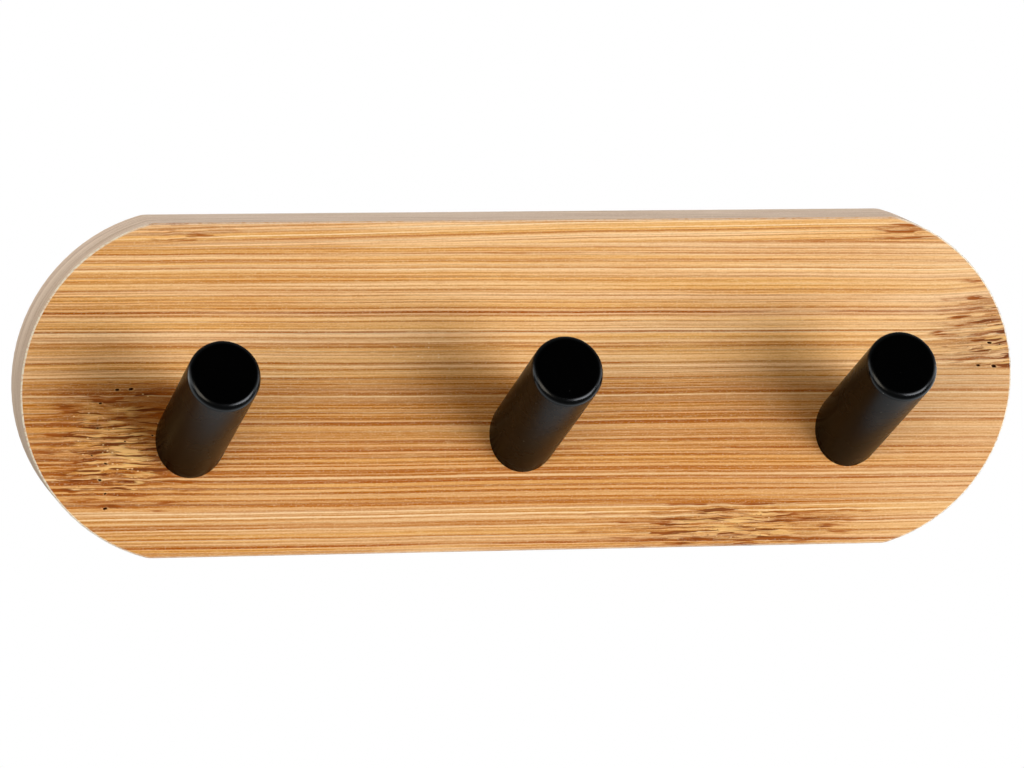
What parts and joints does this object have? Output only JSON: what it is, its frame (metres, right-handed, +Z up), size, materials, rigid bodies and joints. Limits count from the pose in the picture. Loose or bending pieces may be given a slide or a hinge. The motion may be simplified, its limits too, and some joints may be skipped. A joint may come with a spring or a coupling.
{
  "type": "wall hook rack",
  "caption": "Wall hook rack: a bamboo board with bowed ends carries a row of straight black pegs that lean upwards, and hangs on hidden keyhole plates.",
  "frame": {"origin": "centre of the board's back face, on the wall", "axes": "+X along the board to the right as seen from the room, +Y into the wall, +Z up"},
  "size_m": [0.185, 0.0479, 0.061],
  "materials": {
    "bamboo": "side-pressed bamboo strips, sanded, thin satin oil",
    "peg_coating": "matte black powder coat",
    "plate_steel": "bright zinc plate, pressed",
    "screw_steel": "zinc plate, slightly yellow"
  },
  "bodies": {
    "root": {"backboard": "bamboo", "peg_left": "peg_coating", "peg_middle": "peg_coating", "peg_right": "peg_coating", "peg_screw_left": "screw_steel", "peg_screw_middle": "screw_steel", "peg_screw_right": "screw_steel", "keyhole_plate_left": "plate_steel", "keyhole_plate_right": "plate_steel", "plate_screw_left_lower": "screw_steel", "plate_screw_left_upper": "screw_steel", "plate_screw_right_lower": "screw_steel", "plate_screw_right_upper": "screw_steel"}
  },
  "joints": []
}
